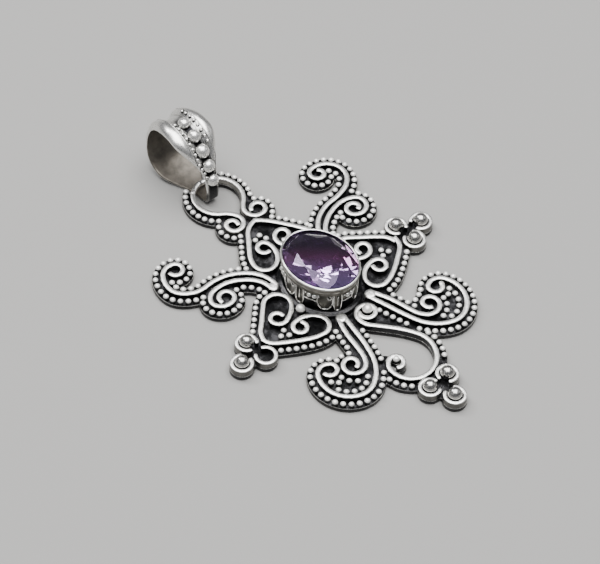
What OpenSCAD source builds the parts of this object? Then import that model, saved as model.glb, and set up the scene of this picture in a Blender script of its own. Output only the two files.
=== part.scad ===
// Silver pendant with an oval faceted purple stone, scroll arms of flattened
// wire edged with granules, ring and ball trefoils on three ends, and a
// hollow bail that swings on the bare bow of the loop at the top.
// x runs across, y toward the bail, z up from the flat back, in mm.
// The origin is where the two axes of the cross meet, on the flat back.

/* [Plate and wire] */
// Thickness of the back plate
plate_t = 0.65; // [0.4:0.05:1.2]
// Width of the flattened wire
wire_w = 0.68; // [0.5:0.02:1.2]
// Height of the wire above the plate
wire_h = 0.85; // [0.5:0.05:1.5]
// Plate left showing outside the granules
plate_rim = 0.06; // [0:0.01:0.3]

/* [Granules and rings] */
// Diameter of one granule
grain_d = 0.72; // [0.5:0.02:1]
// Distance of a granule row from the middle of its wire
grain_off = 0.9; // [0.8:0.02:1.3]
// Outer diameter of the open rings
ring_d = 2.84; // [2:0.02:3.4]
// Width of the wire of the open rings
ring_w = 0.52; // [0.4:0.02:0.8]
// Diameter of the balls inside the rings
ball_d = 1.7; // [1:0.02:2]

/* [Stone and bezel] */
// Length of the oval stone
stone_l = 10; // [8:0.1:12]
// Width of the oval stone
stone_w = 8; // [6:0.1:10]
// Height of the stone's girdle above the flat back
girdle_z = 5.0; // [4:0.1:6.5]
// Height of the crown above the girdle
crown_h = 1.1; // [0.6:0.05:1.6]
// Depth of the pavilion below the girdle
pavilion_h = 3.4; // [2:0.1:4]
// Thickness of the bezel wall
bezel_t = 0.2; // [0.16:0.02:0.6]
// Gap left between the stone and its seat
stone_gap = 0.06; // [0.02:0.01:0.2]
// Size of the table against the whole stone
table_part = 0.58; // [0.5:0.01:0.7]
// Width of the lip over the girdle
lip_w = 0.3; // [0.2:0.02:0.5]
// Number of tongues round the gallery
tongue_n = 12; // [8:1:20]

/* [Bail] */
// Thickness of the bail's band
band_t = 0.36; // [0.3:0.02:0.8]
// Half width of the band at its throat
throat_hw = 0.85; // [0.7:0.05:1.4]
// Half width of the band at its mouth
mouth_hw = 2.85; // [2:0.05:4]
// Way the bail is turned about the upright, as it lies on the loop
bail_turn = 7; // [-15:1:15]
// Way the bail leans to the left, as it lies on the loop
bail_lean = 1.4; // [-5:0.1:5]

/* [Hidden] */

sunk = 0.25;
foot_z = plate_t - sunk;
eps = 0.01;
plate_side = grain_off + grain_d / 2 + plate_rim;
bare_side = wire_w / 2 + 0.04;
grain_z = plate_t + 0.32;
ball_sunk = 0.05;
stone_at = [-0.25, 0.2];
SILVER = [0.78, 0.78, 0.76];
PURPLE = [0.42, 0.25, 0.6];

// The bare bow of the loop, where the bail hangs
bow_at = [0.25, 20.74];
bow_x = [-1.3, 2.1];
bow_y = [19.6, 22.6];
bow_z = [0.86, 1.46];
bow_thin = 0.08;
bow_lap = 0.2;

// Columns of a wire: its start [x, y, heading], its bends, its granule rows
START = 0;
BENDS = 1;
GRAINS = 2;

// Columns of a bend: how far the wire turns, left positive, and its radius
TURN = 0;
RAD = 1;

// Columns of a granule row: side of the wire, first and last place, how many
SIDE = 0;
FROM = 1;
TO = 2;
COUNT = 3;

// A place along a wire is [x, y, heading]
function bend(s, t, r) =
    let (
        k = sign(t),
        cx = s[0] - k * r * sin(s[2]),
        cy = s[1] + k * r * cos(s[2]))
    [cx + k * r * sin(s[2] + t), cy - k * r * cos(s[2] + t), s[2] + t];

// The places where each bend begins, and the wire's end last
function knots(s, rows, i = 0) =
    i == len(rows) ? [s] : concat([s], knots(bend(s, rows[i][TURN], rows[i][RAD]), rows, i + 1));

function bend_len(row) = abs(row[TURN]) * abs(row[RAD]) * PI / 180;

// The place a length d along the wire
function along(s, rows, d, i = 0) =
    (i == len(rows) - 1 || d <= bend_len(rows[i]))
    ? bend(s, rows[i][TURN] * d / bend_len(rows[i]), rows[i][RAD])
    : along(bend(s, rows[i][TURN], rows[i][RAD]), rows, d - bend_len(rows[i]), i + 1);

// The place beside a place, left positive
function beside(p, off) = [p[0] - off * sin(p[2]), p[1] + off * cos(p[2]), p[2]];

function flat(p) = [p[0], p[1]];

// The bends of a line that runs a constant distance beside the wire
function rows_beside(rows, off) = [for (r = rows) [r[TURN], r[RAD] - sign(r[TURN]) * off]];

// Upper left arm, outer and inner wire, bent from the bezel outward
far_l = [
    [-4.2, 3.4, 81],
    [[45, 4], [22, 6.1], [35, 6.2], [-58, 3.5], [-38, 1.9], [-38, 3.3], [-75, 1.75], [-238, 0.85]],
    [[-1, 4.9, 14.1, 11], [1, 9, 26.7, 20]]];
near_l = [
    [-5, 3.45, 84.5],
    [[46, 3.25], [14, 6.8], [43, 4.55], [59, 1.6], [50, 0.95], [85, 1.65], [248, 0.9]],
    [[-1, 11.5, 19.6, 10], [1, 0.9, 2.8, 3]]];

// Upper right arm
far_r = [
    [5.05, 5.4, 59],
    [[-33, 4.8], [-28, 5.7], [21, 6.8], [29, 3.15], [63, 2.3], [74, 2.5], [184, 0.9], [123, 0.6]],
    [[1, 1.5, 11.8, 12], [-1, 7.5, 23.9, 19]]];
near_r = [
    [5.55, 4.8, 55.5],
    [[-17, 3.85], [-40, 6], [-35, 3.05], [-94, 1.25], [-110, 1.4], [-192, 0.85], [-81, 0.5]],
    [[1, 9.3, 17.6, 10], [-1, 0.05, 3.5, 5]]];

// Lower left arm, twin wires that end in two facing spirals
low_far_l = [
    [-1.9, -5.35, -105.5],
    [[3, 60], [-10, 19.5], [-40, 6], [-51, 2.75], [-105, 3.55], [-94, 1.4], [-218, 0.85]],
    [[1, 2.75, 7.35, 6], [1, 9.4, 27.6, 20], [-1, 9.1, 13.85, 6]]];
low_near_l = [
    [-2.7, -5.4, -117.5],
    [[8, 11.5], [8, 14], [-5, 23], [-24, 3.55], [-113, 1.4], [-120, 1.15], [-160, 0.8]],
    [[-1, 1.35, 4, 4], [1, 10.6, 12.6, 3]]];

// Lower right arm
low_far_r = [
    [2.25, -5.3, -74.5],
    [[-4, 40], [4, 50], [49, 5.2], [49, 2.8], [94, 3.7], [88, 1.5], [229, 0.85]],
    [[-1, 2.05, 5.75, 5], [-1, 7.4, 26.85, 22], [1, 10.4, 14.2, 5]]];
low_near_r = [
    [3.05, -5.25, -65.5],
    [[-8, 15.5], [-8, 12], [6, 18], [28, 2.85], [97, 1.5], [97, 1.15], [181, 0.8]],
    [[1, 2.35, 4.35, 3], [-1, 9.7, 12.6, 4]]];

// Left heart, two wires bent from its outer tip
heart_up_l = [
    [-11.05, -1.4, 78.5],
    [[-40, 2.4], [3, 70], [-177, 1.65], [-27, 4.75], [-85, 1.15], [-202, 0.8]],
    [[1, 2, 8.2, 8]]];
heart_low_l = [
    [-11.1, -1.35, -86],
    [[48, 1.95], [7, 30], [20, 6.1], [125, 1.4], [74, 2.7], [71, 1], [212, 0.8]],
    [[-1, 2.8, 9.2, 8]]];

// Right heart
heart_up_r = [
    [10.55, -1.55, 96.5],
    [[40, 2.45], [3, 45], [-2, 40], [173, 1.65], [34, 3.45], [85, 1.2], [209, 0.8]],
    [[-1, 2, 7.4, 7]]];
heart_low_r = [
    [10.9, -1.5, -95],
    [[-48, 1.95], [-10, 20], [-18, 6.2], [-134, 1.4], [-61, 2.8], [-84, 1], [-203, 0.8]],
    [[1, 2.55, 8.8, 8]]];

// Upper heart, bent from its tip
crown_l = [
    [0.7, 12.05, -174.5],
    [[44, 2.85], [-2, 80], [26, 4.25], [133, 1.45], [68, 2.75], [12, 1.5], [250, 0.8]],
    [[-1, 2.85, 7.1, 6]]];
crown_r = [
    [0.95, 12.05, -39],
    [[-17, 6.2], [-8, 32], [-130, 1.1], [-15, 5.05], [-46, 2.8], [-91, 1.3], [-224, 0.8]],
    [[1, 2.1, 6.4, 6]]];

// Loop for the bail, bent from each curl up to the middle of its bow
loop_l = [
    [-0.85, 13.15, 65.5],
    [[170, 0.7], [108, 0.95], [127, 1.25], [34, 3.3], [-36, 2.9], [-25, 3], [-46, 2.85], [-37, 2.8]],
    [[-1, 4.6, 7.3, 4], [1, 2.15, 9.05, 9]]];
loop_r = [
    [1.85, 13.6, 60],
    [[-203, 0.85], [-31, 1.1], [-137, 1.35], [-11, 4.75], [44, 3.25], [45, 3.15], [53, 2.9]],
    [[1, 2.7, 6.35, 5], [-1, 3.2, 9, 8]]];

// Lower hook, bent from the ball near the bezel down to its curl
hook = [
    [-0.25, -6.3, -119.5],
    [[252, 0.97], [119, 1.32], [57, 2], [-3, 50], [-11, 14.5],
     [-86, 3.55], [-22, 3.85], [-105, 2.85], [-60, 1.65], [-225, 0.87]],
    [[1, 9.15, 12.95, 5], [1, 19.7, 22.5, 4]]];

// The wires with plate on both sides
scrolls = [
    far_l, near_l, far_r, near_r, low_far_l, low_near_l, low_far_r,
    low_near_r, heart_up_l, heart_low_l, heart_up_r, heart_low_r, crown_l, crown_r];

// Solder that joins twin wires at the bezel: x, y, diameter
joins = [[-4.6, 3.4, 1.3], [-2.3, -5.35, 1.4], [2.65, -5.25, 1.4]];

// Balls at wire ends: x, y, diameter
end_balls = [[0.8, -6.6, 1.25], [-2, -13.95, 0.85], [4.85, -0.75, 1.1], [-4.7, -1.1, 1.15]];

// Granules set one by one in the hollows
dots = [
    [-1.05, 10], [-0.15, 10.2], [0.1, 9.35],
    [8.55, -1.4], [9.05, -2.15], [8.1, -2.15],
    [-8.25, -1.85], [-8.3, -2.8], [-9.1, -2.25],
    [10.1, -11], [9.4, -11.5], [6.85, -9.15], [6, -9.4], [5.3, -9.95],
    [-9.75, -11], [-9.15, -11.65], [-5.3, -9.5], [-6.2, -9.2]];

// Plate that closes the hollows of the lower arms and the crown: x, y, diameter
floors = [[8.6, -12.5, 3.6], [-8.6, -12.5, 3.6], [1.75, -8.6, 2.4], [0.3, 10.3, 1.4], [0.55, 13.4, 0.7]];

// Open rings of the three trefoils: middle, and the way each opens
rings = [
    [-12.8, -0.3, -75], [-12.5, -3.15, 100], [-15.3, -2.05, 20],
    [12.3, -0.25, -85], [12.4, -3.15, 85], [14.95, -1.75, 170],
    [0.6, -19.6, -155], [-2.3, -19.6, -25], [-1.05, -22.35, 80]];
empty_ring = 1;
ring_gap = 40;
trefoils = [[-13.4, -1.8], [13.2, -1.7], [-0.9, -20.5]];

// Right half of the plate behind the stone and the hearts
core = [[0, -8], [0, 8], [4.5, 6.5], [11, -0.5], [11, -2.5], [4, -6], [2, -8]];

// Oval drums: growth beyond the stone's outline, bottom, top
GROW = 0;
LOW = 1;
HIGH = 2;
wall = stone_gap + bezel_t;
gallery_z = 3.3;
rim_z = 4.4;
lip_z = girdle_z + 0.25;
bezel_drums = [
    [0.55, foot_z, plate_t + 0.55],
    [-0.15, foot_z, gallery_z],
    [wall - 0.15, gallery_z - eps, rim_z],
    [wall, rim_z - eps, lip_z],
    [wall - 0.13, lip_z - eps, lip_z + 0.25]];
bezel_hollows = [
    [-0.7, plate_t + 0.3, gallery_z - 0.3],
    [-0.2, gallery_z - 0.31, rim_z + 0.1],
    [stone_gap, rim_z + 0.1 - eps, lip_z + 0.02],
    [wall - 0.13 - lip_w, lip_z + 0.02 - eps, lip_z + 0.5]];

// Round tongues of the gallery, and the pairs of balls between them
tongue_d = 0.8;
tongue_h = 2.3;
pair_d = 0.62;
pair_z = 2.75;
pair_turn = 4.5;

// One bend of wire, from lo on its right to hi on its left
module bend_2d(s, row, lo, hi) {
    n = ceil(max(abs(row[TURN]) / 15, bend_len(row) / 2));
    run = [for (i = [0:n]) bend(s, row[TURN] * i / n, row[RAD])];
    left = [for (p = run) flat(beside(p, hi))];
    right = [for (i = [n:-1:0]) flat(beside(run[i], -lo))];
    polygon(concat(left, right));
}

// A whole wire, with rounded ends
module wire_2d(s, rows, lo, hi) {
    k = knots(s, rows);
    for (i = [0:len(rows) - 1])
        bend_2d(k[i], rows[i], lo, hi);
    for (p = [k[0], k[len(rows)]])
        translate(flat(beside(p, (hi - lo) / 2)))
            circle(d = hi + lo, $fn = 20);
}

// A wire seen from above, or the band of plate under it
module wire(w) {
    strip(w, wire_w / 2, wire_w / 2);
}

module strip(w, lo, hi) {
    wire_2d(w[START], w[BENDS], lo, hi);
}

// The first n bends of a wire
function head(w, n) = [w[START], [for (i = [0:n - 1]) w[BENDS][i]]];

module ring_2d(r) {
    r_mid = (ring_d - ring_w) / 2;
    a = r[2] + ring_gap;
    wire_2d(
        [r[0] + r_mid * cos(a), r[1] + r_mid * sin(a), a + 90],
        [[360 - 2 * ring_gap, r_mid]], ring_w / 2, ring_w / 2);
}

module wires_2d() {
    for (w = scrolls)
        wire(w);
    wire(hook);
    difference() {
        loop_2d();
        bow_box();
    }
    discs_2d(joins);
    for (r = rings)
        ring_2d(r);
}

module discs_2d(places) {
    for (p = places)
        translate([p[0], p[1]])
            circle(d = p[2], $fn = 20);
}

module loop_2d() {
    wire(loop_l);
    wire(loop_r);
}

module bow_box() {
    translate([bow_x[0], bow_y[0]])
        square([bow_x[1] - bow_x[0], bow_y[1] - bow_y[0]]);
}

module plate_2d() {
    for (w = scrolls)
        strip(w, plate_side, plate_side);
    strip(head(hook, 9), bare_side, plate_side);
    strip(hook, bare_side, bare_side);
    difference() {
        union() {
            strip(loop_l, bare_side, plate_side);
            strip(loop_r, plate_side, bare_side);
            for (w = [loop_l, loop_r])
                strip(head(w, 2), plate_side, plate_side);
        }
        bow_box();
    }
    for (m = [0, 1])
        mirror([m, 0])
            polygon(core);
    discs_2d(floors);
    discs_2d(end_balls);
    for (r = rings)
        translate([r[0], r[1]])
            circle(d = ring_d + 0.1, $fn = 24);
    for (p = trefoils)
        translate(p)
            circle(d = ring_d, $fn = 24);
}

module grain_rows(w) {
    for (g = w[GRAINS])
        for (i = [0:g[COUNT] - 1])
            grain_at(along(
                beside(w[START], g[SIDE] * grain_off),
                rows_beside(w[BENDS], g[SIDE] * grain_off),
                g[FROM] + (g[TO] - g[FROM]) * i / (g[COUNT] - 1)));
}

module grain_at(p) {
    translate([p[0], p[1], grain_z])
        sphere(d = grain_d, $fn = 30);
}

module ball_at(p, d) {
    translate([p[0], p[1], plate_t + d / 2 - ball_sunk])
        sphere(d = d, $fn = 36);
}

module balls(places) {
    for (p = places)
        ball_at(p, p[2]);
}

module grains() {
    for (w = concat(scrolls, [loop_l, loop_r, hook]))
        grain_rows(w);
    for (p = dots)
        grain_at(p);
    for (i = [0:len(rings) - 1])
        if (i != empty_ring)
            ball_at(rings[i], ball_d);
    balls(end_balls);
}

// An oval drum about the stone's axis
module oval(drum) {
    translate([stone_at[0], stone_at[1], drum[LOW]])
        linear_extrude(drum[HIGH] - drum[LOW])
            scale([stone_w / 2 + drum[GROW], stone_l / 2 + drum[GROW]])
                circle(r = 1, $fn = 60);
}

// A point at angle a on the stone's outline grown by grow
function oval_at(grow, a) = [
    stone_at[0] + (stone_w / 2 + grow) * cos(a),
    stone_at[1] + (stone_l / 2 + grow) * sin(a)];

module bezel() {
    difference() {
        union()
            for (drum = bezel_drums)
                oval(drum);
        for (drum = bezel_hollows)
            oval(drum);
    }
    for (i = [0:tongue_n - 1]) {
        a = 360 * (i + 0.5) / tongue_n;
        p = oval_at(0.02, a);
        translate([p[0], p[1], foot_z + sunk / 2])
            cylinder(d = tongue_d, h = tongue_h, $fn = 20);
        for (side = [-1, 1]) {
            b = oval_at(0.05, a + 180 / tongue_n + side * pair_turn);
            translate([b[0], b[1], pair_z])
                sphere(d = pair_d, $fn = 24);
        }
    }
}

module frame() {
    color(SILVER)
        union() {
            linear_extrude(plate_t)
                offset(delta = eps)
                    plate_2d();
            translate([0, 0, foot_z])
                linear_extrude(wire_h + sunk)
                    offset(delta = eps)
                        wires_2d();
            translate([0, 0, bow_z[0]])
                linear_extrude(bow_z[1] - bow_z[0])
                    offset(delta = -bow_thin)
                        intersection() {
                            loop_2d();
                            offset(delta = bow_lap + bow_thin)
                                bow_box();
                        }
            grains();
            bezel();
        }
}

// Faceted oval stone: table, crown, girdle and pavilion
module stone() {
    color(PURPLE)
        translate([stone_at[0], stone_at[1], girdle_z])
            hull() {
                facet_ring(table_part, crown_h, 8, 22.5);
                facet_ring(0.8, crown_h * 0.68, 8, 0);
                facet_ring(1, 0.06, 32, 0);
                facet_ring(1, -0.08, 32, 0);
                facet_ring(0.62, -pavilion_h * 0.5, 8, 0);
                facet_ring(0.04, -pavilion_h, 8, 22.5);
            }
}

module facet_ring(size, z, n, turn) {
    translate([0, 0, z])
        linear_extrude(eps)
            scale([stone_w / 2 * size, stone_l / 2 * size])
                rotate(turn)
                    circle(r = 1, $fn = n);
}

// Side outline of the bail's band, in the plane across its hinge
band = [0.4, 0.23, 180];
band_rows = [[-24, 6.6], [-58, 0.45], [-59, 8.25], [-63, 3.3], [-82, 5.1], [-52, 3.05], [-22, 12]];
// Large balls down its front: length along the outline, diameter
spine = [[6.6, 1.5], [8.55, 1.55], [10.45, 1.7], [12.35, 1.6], [14.2, 1.5]];
spine_lift = 0.3;
band_tilt = 22;
// How far the band's right edge draws in toward the mouth
right_in = 0.35;

// Half width of the band a length t along its own axis
function smooth(u) = let (v = min(max(u, 0), 1)) v * v * (3 - 2 * v);
function band_hw(t) =
    throat_hw + (mouth_hw - throat_hw) * smooth((t + 0.6) / 5.4) - 0.07 * pow(max(t - 6, 0), 2);

module band_side() {
    rotate([90, 0, 90])
        linear_extrude(2 * mouth_hw + 1, center = true)
            offset(delta = eps)
                wire_2d(band, band_rows, band_t / 2, band_t / 2);
}

module band_front() {
    n = 14;
    ts = [for (i = [0:n]) -3.2 + 12.8 * i / n];
    right = [for (t = ts) [band_hw(t) - right_in * smooth((t - 3) / 5), t]];
    left = [for (i = [n:-1:0]) [-band_hw(ts[i]), ts[i]]];
    rotate([band_tilt, 0, 0])
        linear_extrude(30, center = true)
            polygon(concat(right, left));
}

// A place a length d along the band, lifted outward
function on_band(d, lift) = let (p = beside(along(band, band_rows, d), lift)) [0, p[0], p[1]];

module bail() {
    color(SILVER)
        translate([bow_at[0], bow_at[1], 0])
            rotate([0, -bail_lean, -bail_turn])
                union() {
                    intersection() {
                        band_side();
                        band_front();
                    }
                    for (b = spine)
                        translate(on_band(b[0], spine_lift))
                            sphere(d = b[1], $fn = 40);
                }
}

frame();
stone();
bail();
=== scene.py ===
# Silver pendant with an oval amethyst: scrolls of flattened wire edged with
# granules on a sawn plate, a bezel with a gallery, and a bail on the top loop.
# Sizes are in millimetres; Shape.build turns them into metres.
import random
from math import ceil, copysign, cos, hypot, pi, radians, sin, tau

import bmesh
import bpy
from mathutils import Matrix, Vector
from mathutils.geometry import delaunay_2d_cdt


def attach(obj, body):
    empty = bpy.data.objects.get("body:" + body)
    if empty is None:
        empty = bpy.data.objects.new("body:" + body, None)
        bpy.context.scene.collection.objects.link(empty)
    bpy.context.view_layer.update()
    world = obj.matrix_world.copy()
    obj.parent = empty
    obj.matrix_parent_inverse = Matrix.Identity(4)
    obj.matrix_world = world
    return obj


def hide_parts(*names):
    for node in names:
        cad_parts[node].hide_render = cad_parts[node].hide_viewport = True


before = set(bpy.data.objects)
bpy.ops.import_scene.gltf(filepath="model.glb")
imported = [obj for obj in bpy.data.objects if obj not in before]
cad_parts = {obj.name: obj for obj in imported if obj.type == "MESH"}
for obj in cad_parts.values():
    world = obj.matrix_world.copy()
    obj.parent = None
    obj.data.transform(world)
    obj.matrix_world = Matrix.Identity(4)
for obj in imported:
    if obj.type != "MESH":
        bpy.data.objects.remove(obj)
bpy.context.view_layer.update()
MM = 0.001

# Plate: thickness, rounding, and reach beside a wire with granules and a bare one
PLATE_T = 0.65
RIM_ROUND = 0.06
PLATE_SIDE = 1.32
BARE_SIDE = 0.38

# Wires on edge, each a hair lower than the one before it
WIRE_W = 0.6
WIRE_TOP = 1.5
WIRE_FOOT = 0.5
WIRE_STEP = 0.004

# Granules, and the spread of their sizes and heights
GRAIN_D = 0.72
GRAIN_OFF = 0.9
GRAIN_Z = 0.97
GRAIN_SIZES = (0.95, 1.03)
GRAIN_WOBBLE = 0.02

# Open rings and the plate beyond them; balls, a hair above the plate; solder
RING_D = 2.84
RING_W = 0.5
RING_STEP = 0.005
RING_EDGE = 0.1
BALL_D = 1.7
BALL_LIFT = 0.08
JOIN_DROP = 0.02

# Stone and bezel
STONE_AT = (-0.25, 0.2)
STONE_W = 8.0
STONE_L = 10.0
GIRDLE_Z = 5.0
CROWN_H = 1.1
PAVILION_H = 3.4

# Bow of the loop: where it lies, and how far it laps over the wires at its ends
BOW_X = (-1.3, 2.1)
BOW_Y = (19.6, 22.6)
BOW_Z = (0.86, 1.46)
BOW_W = 0.6
BOW_LAP = 0.25

# Bail: its hinge, turn on the plate and lean. Its band: thickness, half widths,
# how far the right edge is drawn in at the mouth, and the tilt along which it widens
BAIL_AT = (0.25, 20.74)
BAIL_TURN = radians(7)
BAIL_LEAN = radians(1.4)
BAND_T = 0.36
THROAT_HW = 0.85
MOUTH_HW = 2.85
RIGHT_IN = 0.35
BAND_TILT = radians(22)

# Wires as a silversmith bends them: a place (x, y, heading), then for each
# bend how far it turns, left positive, and its radius. Granule rows give the
# side of the wire, the first and last place along it, and how many there are.
WIRES = {
    "far_l": {
        "start": (-4.2, 3.4, 81),
        "bends": [(45, 4), (22, 6.1), (35, 6.2), (-58, 3.5),
                  (-38, 1.9), (-38, 3.3), (-75, 1.75), (-238, 0.85)],
        "grains": [(-1, 4.9, 14.1, 11), (1, 9, 26.7, 20)]},
    "near_l": {
        "start": (-5, 3.45, 84.5),
        "bends": [(46, 3.25), (14, 6.8), (43, 4.55), (59, 1.6), (50, 0.95), (85, 1.65), (248, 0.9)],
        "grains": [(-1, 11.5, 19.6, 10), (1, 0.9, 2.8, 3)]},
    "far_r": {
        "start": (5.05, 5.4, 59),
        "bends": [(-33, 4.8), (-28, 5.7), (21, 6.8), (29, 3.15),
                  (63, 2.3), (74, 2.5), (184, 0.9), (123, 0.6)],
        "grains": [(1, 1.5, 11.8, 12), (-1, 7.5, 23.9, 19)]},
    "near_r": {
        "start": (5.55, 4.8, 55.5),
        "bends": [(-17, 3.85), (-40, 6), (-35, 3.05), (-94, 1.25),
                  (-110, 1.4), (-192, 0.85), (-81, 0.5)],
        "grains": [(1, 9.3, 17.6, 10), (-1, 0.05, 3.5, 5)]},
    "low_far_l": {
        "start": (-1.9, -5.35, -105.5),
        "bends": [(3, 60), (-10, 19.5), (-40, 6), (-51, 2.75), (-105, 3.55), (-94, 1.4), (-218, 0.85)],
        "grains": [(1, 2.75, 7.35, 6), (1, 9.4, 27.6, 20), (-1, 9.1, 13.85, 6)]},
    "low_near_l": {
        "start": (-2.7, -5.4, -117.5),
        "bends": [(8, 11.5), (8, 14), (-5, 23), (-24, 3.55), (-113, 1.4), (-120, 1.15), (-160, 0.8)],
        "grains": [(-1, 1.35, 4, 4), (1, 10.6, 12.6, 3)]},
    "low_far_r": {
        "start": (2.25, -5.3, -74.5),
        "bends": [(-4, 40), (4, 50), (49, 5.2), (49, 2.8), (94, 3.7), (88, 1.5), (229, 0.85)],
        "grains": [(-1, 2.05, 5.75, 5), (-1, 7.4, 26.85, 22), (1, 10.4, 14.2, 5)]},
    "low_near_r": {
        "start": (3.05, -5.25, -65.5),
        "bends": [(-8, 15.5), (-8, 12), (6, 18), (28, 2.85), (97, 1.5), (97, 1.15), (181, 0.8)],
        "grains": [(1, 2.35, 4.35, 3), (-1, 9.7, 12.6, 4)]},
    "heart_up_l": {
        "start": (-11.05, -1.4, 78.5),
        "bends": [(-40, 2.4), (3, 70), (-177, 1.65), (-27, 4.75), (-85, 1.15), (-202, 0.8)],
        "grains": [(1, 2, 8.2, 8)]},
    "heart_low_l": {
        "start": (-11.1, -1.35, -86),
        "bends": [(48, 1.95), (7, 30), (20, 6.1), (125, 1.4), (74, 2.7), (71, 1), (212, 0.8)],
        "grains": [(-1, 2.8, 9.2, 8)]},
    "heart_up_r": {
        "start": (10.55, -1.55, 96.5),
        "bends": [(40, 2.45), (3, 45), (-2, 40), (173, 1.65), (34, 3.45), (85, 1.2), (209, 0.8)],
        "grains": [(-1, 2, 7.4, 7)]},
    "heart_low_r": {
        "start": (10.9, -1.5, -95),
        "bends": [(-48, 1.95), (-10, 20), (-18, 6.2), (-134, 1.4), (-61, 2.8), (-84, 1), (-203, 0.8)],
        "grains": [(1, 2.55, 8.8, 8)]},
    "crown_l": {
        "start": (0.7, 12.05, -174.5),
        "bends": [(44, 2.85), (-2, 80), (26, 4.25), (133, 1.45), (68, 2.75), (12, 1.5), (250, 0.8)],
        "grains": [(-1, 2.85, 7.1, 6)]},
    "crown_r": {
        "start": (0.95, 12.05, -39),
        "bends": [(-17, 6.2), (-8, 32), (-130, 1.1), (-15, 5.05), (-46, 2.8), (-91, 1.3), (-224, 0.8)],
        "grains": [(1, 2.1, 6.4, 6)]},
    "loop_l": {
        "start": (-0.85, 13.15, 65.5), "bare": 1,
        "bends": [(170, 0.7), (108, 0.95), (127, 1.25), (34, 3.3),
                  (-36, 2.9), (-25, 3), (-46, 2.85), (-37, 2.8)],
        "grains": [(-1, 4.6, 7.3, 4), (1, 2.15, 9.05, 9)]},
    "loop_r": {
        "start": (1.85, 13.6, 60), "bare": -1,
        "bends": [(-203, 0.85), (-31, 1.1), (-137, 1.35), (-11, 4.75),
                  (44, 3.25), (45, 3.15), (53, 2.9)],
        "grains": [(1, 2.7, 6.35, 5), (-1, 3.2, 9, 8)]},
    "hook": {
        "start": (-0.25, -6.3, -119.5), "bare": 1,
        "bends": [(252, 0.97), (119, 1.32), (57, 2), (-3, 50), (-11, 14.5),
                  (-86, 3.55), (-22, 3.85), (-105, 2.85), (-60, 1.65), (-225, 0.87)],
        "grains": [(1, 9.15, 12.95, 5), (1, 19.7, 22.5, 4)]}}
# Bends of the loop's wires with wide plate on both sides, and bends of the
# hook with it on their left
CURL_BENDS = 2
HOOK_BENDS = 9
# Part of the hook, from its first curl on, whose walls are painted dark as shade
HOOK_PAINTED_SHADE = 0.6

# Granules set one by one
DOTS = [
    (-1.05, 10), (-0.15, 10.2), (0.1, 9.35),
    (8.55, -1.4), (9.05, -2.15), (8.1, -2.15),
    (-8.25, -1.85), (-8.3, -2.8), (-9.1, -2.25),
    (10.1, -11), (9.4, -11.5), (6.85, -9.15), (6, -9.4), (5.3, -9.95),
    (-9.75, -11), (-9.15, -11.65), (-5.3, -9.5), (-6.2, -9.2)]

# Solder joins, bright balls and discs of plate, each with its diameter
JOINS = [(-4.6, 3.4, 1.3), (-2.3, -5.35, 1.4), (2.65, -5.25, 1.4)]
END_BALLS = [(0.8, -6.6, 1.25), (-2, -13.95, 0.85), (4.85, -0.75, 1.1), (-4.7, -1.1, 1.15)]
FLOORS = [(8.6, -12.5, 3.6), (-8.6, -12.5, 3.6), (1.75, -8.6, 2.4), (0.3, 10.3, 1.4), (0.55, 13.4, 0.7)]

# Open rings: middle, and the way each opens
RINGS = [
    (-12.8, -0.3, -75), (-12.5, -3.15, 100), (-15.3, -2.05, 20),
    (12.3, -0.25, -85), (12.4, -3.15, 85), (14.95, -1.75, 170),
    (0.6, -19.6, -155), (-2.3, -19.6, -25), (-1.05, -22.35, 80)]
# The ring that holds no ball, and half the opening of a ring in degrees
EMPTY_RING = 1
RING_GAP = 40
# Plate between three rings, and the right half of its middle
TREFOILS = [(-13.4, -1.8), (13.2, -1.7), (-0.9, -20.5)]
CORE = [(0, -8), (0, 8), (4.5, 6.5), (11, -0.5), (11, -2.5), (4, -6), (2, -8)]

# Side outline of the bail's band, in the plane across its hinge
BAND = (0.4, 0.23, 180)
BAND_BENDS = [(-24, 6.6), (-58, 0.45), (-59, 8.25), (-63, 3.3), (-82, 5.1), (-52, 3.05), (-22, 12)]
# Balls down its front: length along the outline, diameter; how far out their
# middle lies, and what they gain in radius
SPINE = [(6.6, 1.5), (8.55, 1.55), (10.45, 1.7), (12.35, 1.6), (14.2, 1.5)]
SPINE_LIFT = 0.3
SPINE_GROW = 0.04


def bend(place, turn, radius):
    """The place at the end of a bend."""
    x, y, heading = place
    side = copysign(1, turn)
    a, b = radians(heading), radians(heading + turn)
    cx, cy = x - side * radius * sin(a), y + side * radius * cos(a)
    return (cx + side * radius * sin(b), cy - side * radius * cos(b), heading + turn)


def bend_len(turn, radius):
    """Length of a bend."""
    return abs(radians(turn)) * radius


def run(start, bends, step=0.25, turn_step=7):
    """Places along a wire, close together where it bends hard."""
    places = [start]
    for turn, radius in bends:
        n = max(1, ceil(bend_len(turn, radius) / step), ceil(abs(turn) / turn_step))
        n = min(n, ceil(abs(turn) / turn_step) * 2 + 2)
        places += [bend(start, turn * i / n, radius) for i in range(1, n + 1)]
        start = places[-1]
    return places


def along(start, bends, length):
    """The place a length along a wire."""
    for turn, radius in bends[:-1]:
        if length <= bend_len(turn, radius):
            break
        length -= bend_len(turn, radius)
        start = bend(start, turn, radius)
    else:
        turn, radius = bends[-1]
    return bend(start, turn * length / bend_len(turn, radius), radius)


def beside(place, off):
    """The place beside a place, left positive."""
    x, y, heading = place
    a = radians(heading)
    return (x - off * sin(a), y + off * cos(a), heading)


def bends_beside(bends, off):
    """The bends of a line a constant distance beside a wire."""
    return [(turn, radius - copysign(1, turn) * off) for turn, radius in bends]


# Body, node and slot of the pieces of the frame and of the bail
ON_FRAME = ("pendant", "frame", "silver_frame")
ON_BAIL = ("bail", "bail", "silver_bail")


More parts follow.
